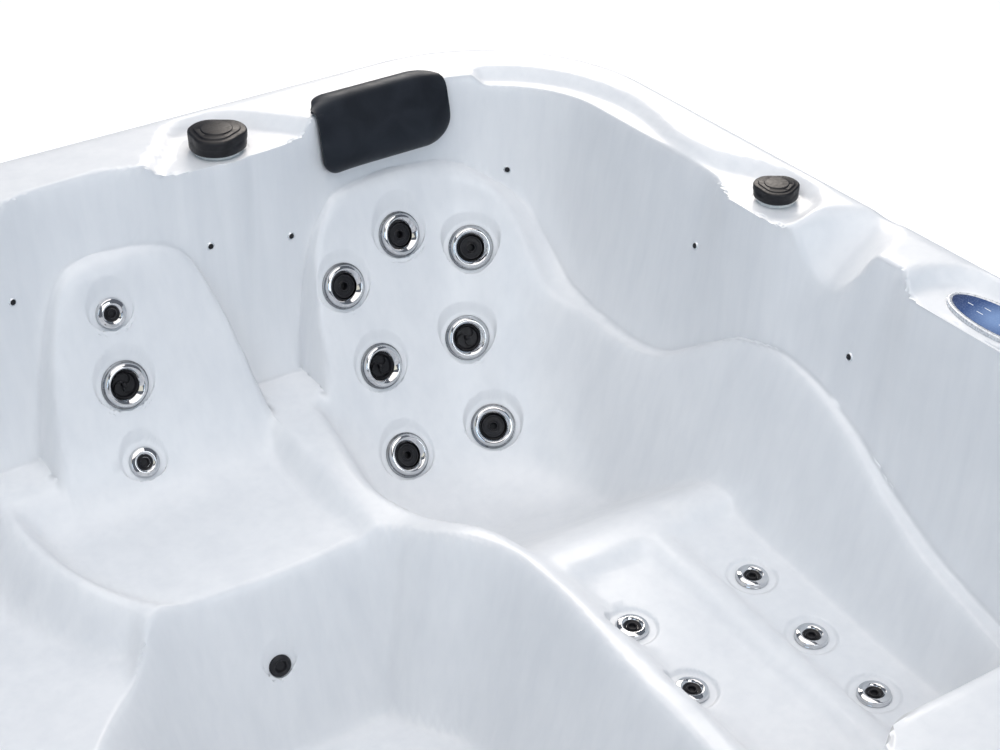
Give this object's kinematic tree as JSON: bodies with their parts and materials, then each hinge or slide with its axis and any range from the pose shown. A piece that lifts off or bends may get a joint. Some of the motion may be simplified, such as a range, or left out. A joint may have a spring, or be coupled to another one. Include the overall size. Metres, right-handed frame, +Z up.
{
  "type": "hot tub",
  "caption": "Square free-standing hot tub with a moulded lounge, arched backrests, hydrotherapy jets, a head pillow, rim controls and a service cabinet.",
  "frame": {"origin": "centre of the base tray's underside, on the ground", "axes": "+Z up, +Y towards the back wall with the pillow and the diverter, +X towards the wall with the lounge's armrest"},
  "size_m": [2.1, 2.1, 0.9349],
  "materials": {
    "acrylic": "gloss, faint grey veining",
    "cabinet": "matt, grooved",
    "tray": "matt",
    "timber": "sawn",
    "pipework": "satin",
    "black_plastic": "satin",
    "chrome": "polished",
    "steel": "brushed",
    "motor_paint": "satin",
    "cushion": "soft skinned foam",
    "screen": "gloss",
    "pale_plastic": "satin",
    "filter_paper": "pleated fabric"
  },
  "bodies": {
    "tub": {"air_valve_body": "pipework", "base_tray": "tray", "control_box": "pale_plastic", "corner_back_left": "cabinet", "corner_back_right": "cabinet", "corner_front_left": "cabinet", "corner_front_right": "cabinet", "diverter_body": "pipework", "drain_valve": "black_plastic", "filter_canister": "pale_plastic", "filter_cartridge": "filter_paper", "footwell_light": "black_plastic", "frame": "timber", "heater_tube": "steel", "lounge_back_plumbing": "pipework", "lounge_leg_plumbing": "pipework", "lounge_pillow": "cushion", "middle_seat_plumbing": "pipework", "ozone_generator": "pale_plastic", "ozone_outlet": "black_plastic", "panel_housing": "pale_plastic", "panel_screen": "screen", "pressure_manifold": "pipework", "pump_motor": "motor_paint", "pump_wet_end": "black_plastic", "shell": "acrylic", "skirt_back": "cabinet", "skirt_front": "cabinet", "skirt_left": "cabinet", "skirt_right": "cabinet", "suction_cover": "pale_plastic", "suction_pipe": "pipework", "waterline_lights": "pale_plastic"},
    "bezel_lounge_top": {"jet_bezel_lounge_top": "chrome"},
    "nozzle_lounge_top": {"jet_nozzle_lounge_top": "black_plastic"},
    "bezel_lounge_upper_left": {"jet_bezel_lounge_upper_left": "chrome"},
    "nozzle_lounge_upper_left": {"jet_nozzle_lounge_upper_left": "black_plastic"},
    "bezel_lounge_upper_right": {"jet_bezel_lounge_upper_right": "chrome"},
    "nozzle_lounge_upper_right": {"jet_nozzle_lounge_upper_right": "black_plastic"},
    "bezel_lounge_middle_left": {"jet_bezel_lounge_middle_left": "chrome"},
    "nozzle_lounge_middle_left": {"jet_nozzle_lounge_middle_left": "black_plastic"},
    "bezel_lounge_middle_right": {"jet_bezel_lounge_middle_right": "chrome"},
    "nozzle_lounge_middle_right": {"jet_nozzle_lounge_middle_right": "black_plastic"},
    "bezel_lounge_lower_left": {"jet_bezel_lounge_lower_left": "chrome"},
    "nozzle_lounge_lower_left": {"jet_nozzle_lounge_lower_left": "black_plastic"},
    "bezel_lounge_lower_right": {"jet_bezel_lounge_lower_right": "chrome"},
    "nozzle_lounge_lower_right": {"jet_nozzle_lounge_lower_right": "black_plastic"},
    "bezel_middle_seat": {"jet_bezel_middle_seat": "chrome"},
    "nozzle_middle_seat": {"jet_nozzle_middle_seat": "black_plastic"},
    "ring_middle_seat_upper": {"jet_ring_middle_seat_upper": "chrome"},
    "ring_middle_seat_lower": {"jet_ring_middle_seat_lower": "chrome"},
    "ring_calf_right_1": {"jet_ring_calf_right_1": "chrome"},
    "ring_calf_right_2": {"jet_ring_calf_right_2": "chrome"},
    "ring_calf_right_3": {"jet_ring_calf_right_3": "chrome"},
    "ring_calf_left_1": {"jet_ring_calf_left_1": "chrome"},
    "ring_calf_left_2": {"jet_ring_calf_left_2": "chrome"},
    "diverter_knob": {"diverter_cap": "black_plastic"},
    "air_knob": {"air_control_cap": "black_plastic"},
    "filter_cover": {"filter_lid": "pale_plastic"},
    "button": {"panel_button": "pale_plastic"}
  },
  "joints": [
    {"name": "turn_bezel_lounge_top", "type": "hinge", "parent": "tub", "child": "bezel_lounge_top", "pos_m": [0.61425, 0.8295, 0.67303], "axis": [0, -0.9205, 0.3906], "range_deg": [0, 90]},
    {"name": "aim_nozzle_lounge_top", "type": "hinge", "parent": "bezel_lounge_top", "child": "nozzle_lounge_top", "pos_m": [0.61425, 0.83871, 0.66913], "axis": [1, 0, 0], "range_deg": [-10, 10]},
    {"name": "turn_bezel_lounge_upper_left", "type": "hinge", "parent": "tub", "child": "bezel_lounge_upper_left", "pos_m": [0.48615, 0.8064, 0.62229], "axis": [0, -0.9153, 0.4027], "range_deg": [0, 90]},
    {"name": "aim_nozzle_lounge_upper_left", "type": "hinge", "parent": "bezel_lounge_upper_left", "child": "nozzle_lounge_upper_left", "pos_m": [0.48615, 0.81555, 0.61827], "axis": [1, 0, 0], "range_deg": [-10, 10]},
    {"name": "turn_bezel_lounge_upper_right", "type": "hinge", "parent": "tub", "child": "bezel_lounge_upper_right", "pos_m": [0.73815, 0.7917, 0.62595], "axis": [-0.3474, -0.8213, 0.4525], "range_deg": [0, 90]},
    {"name": "aim_nozzle_lounge_upper_right", "type": "hinge", "parent": "bezel_lounge_upper_right", "child": "nozzle_lounge_upper_right", "pos_m": [0.74162, 0.79991, 0.62143], "axis": [0.921, -0.3895, 0], "range_deg": [-10, 10]},
    {"name": "turn_bezel_lounge_middle_left", "type": "hinge", "parent": "tub", "child": "bezel_lounge_middle_left", "pos_m": [0.5187, 0.74445, 0.48172], "axis": [0, -0.9105, 0.4135], "range_deg": [0, 90]},
    {"name": "spin_nozzle_lounge_middle_left", "type": "hinge", "parent": "bezel_lounge_middle_left", "child": "nozzle_lounge_middle_left", "pos_m": [0.5187, 0.74445, 0.48172], "axis": [0, -0.9105, 0.4135], "continuous": true},
    {"name": "turn_bezel_lounge_middle_right", "type": "hinge", "parent": "tub", "child": "bezel_lounge_middle_right", "pos_m": [0.6909, 0.73395, 0.48521], "axis": [-0.2974, -0.8375, 0.4584], "range_deg": [0, 90]},
    {"name": "spin_nozzle_lounge_middle_right", "type": "hinge", "parent": "bezel_lounge_middle_right", "child": "nozzle_lounge_middle_right", "pos_m": [0.6909, 0.73395, 0.48521], "axis": [-0.2974, -0.8375, 0.4584], "continuous": true},
    {"name": "turn_bezel_lounge_lower_left", "type": "hinge", "parent": "tub", "child": "bezel_lounge_lower_left", "pos_m": [0.51765, 0.6657, 0.33934], "axis": [0, -0.7934, 0.6088], "range_deg": [0, 90]},
    {"name": "aim_nozzle_lounge_lower_left", "type": "hinge", "parent": "bezel_lounge_lower_left", "child": "nozzle_lounge_lower_left", "pos_m": [0.51765, 0.67363, 0.33325], "axis": [1, 0, 0], "range_deg": [-10, 10]},
    {"name": "turn_bezel_lounge_lower_right", "type": "hinge", "parent": "tub", "child": "bezel_lounge_lower_right", "pos_m": [0.68565, 0.64575, 0.34723], "axis": [-0.3919, -0.6939, 0.6041], "range_deg": [0, 90]},
    {"name": "aim_nozzle_lounge_lower_right", "type": "hinge", "parent": "bezel_lounge_lower_right", "child": "nozzle_lounge_lower_right", "pos_m": [0.68957, 0.65269, 0.34119], "axis": [0.8707, -0.4918, 0], "range_deg": [-10, 10]},
    {"name": "turn_bezel_middle_seat", "type": "hinge", "parent": "tub", "child": "bezel_middle_seat", "pos_m": [0.06825, 0.7938, 0.58025], "axis": [0, -0.9349, 0.355], "range_deg": [0, 90]},
    {"name": "spin_nozzle_middle_seat", "type": "hinge", "parent": "bezel_middle_seat", "child": "nozzle_middle_seat", "pos_m": [0.06825, 0.7938, 0.58025], "axis": [0, -0.9349, 0.355], "continuous": true},
    {"name": "turn_ring_middle_seat_upper", "type": "hinge", "parent": "tub", "child": "ring_middle_seat_upper", "pos_m": [0.0756, 0.83475, 0.69163], "axis": [0, -0.946, 0.3242], "range_deg": [0, 90]},
    {"name": "turn_ring_middle_seat_lower", "type": "hinge", "parent": "tub", "child": "ring_middle_seat_lower", "pos_m": [0.063, 0.73815, 0.46227], "axis": [0, -0.8142, 0.5806], "range_deg": [0, 90]},
    {"name": "turn_ring_calf_right_1", "type": "hinge", "parent": "tub", "child": "ring_calf_right_1", "pos_m": [0.7224, -0.00315, 0.41136], "axis": [0, -0.0882, 0.9961], "range_deg": [0, 90]},
    {"name": "turn_ring_calf_right_2", "type": "hinge", "parent": "tub", "child": "ring_calf_right_2", "pos_m": [0.714, -0.14805, 0.39783], "axis": [0, -0.0897, 0.996], "range_deg": [0, 90]},
    {"name": "turn_ring_calf_right_3", "type": "hinge", "parent": "tub", "child": "ring_calf_right_3", "pos_m": [0.7098, -0.28665, 0.38791], "axis": [0, -0.0457, 0.999], "range_deg": [0, 90]},
    {"name": "turn_ring_calf_left_1", "type": "hinge", "parent": "tub", "child": "ring_calf_left_1", "pos_m": [0.49665, 0.00525, 0.41211], "axis": [0, -0.0898, 0.996], "range_deg": [0, 90]},
    {"name": "turn_ring_calf_left_2", "type": "hinge", "parent": "tub", "child": "ring_calf_left_2", "pos_m": [0.4914, -0.1407, 0.39849], "axis": [0.0535, -0.0907, 0.9944], "range_deg": [0, 90]},
    {"name": "turn_diverter_cap", "type": "hinge", "parent": "tub", "child": "diverter_knob", "pos_m": [0.3255, 0.91455, 0.88], "axis": [0, 0, 1], "range_deg": [0, 180]},
    {"name": "turn_air_control_cap", "type": "hinge", "parent": "tub", "child": "air_knob", "pos_m": [0.9576, 0.2625, 0.88], "axis": [0, 0, 1], "range_deg": [0, 120]},
    {"name": "turn_filter_lid", "type": "hinge", "parent": "tub", "child": "filter_cover", "pos_m": [0.70455, -0.7245, 0.61], "axis": [0, 0, 1], "range_deg": [0, 45]},
    {"name": "press_panel_button", "type": "slide", "parent": "tub", "child": "button", "axis": [0, 0, -1], "range_m": [0, 0.0008], "stiffness_N_per_m": 800}
  ]
}
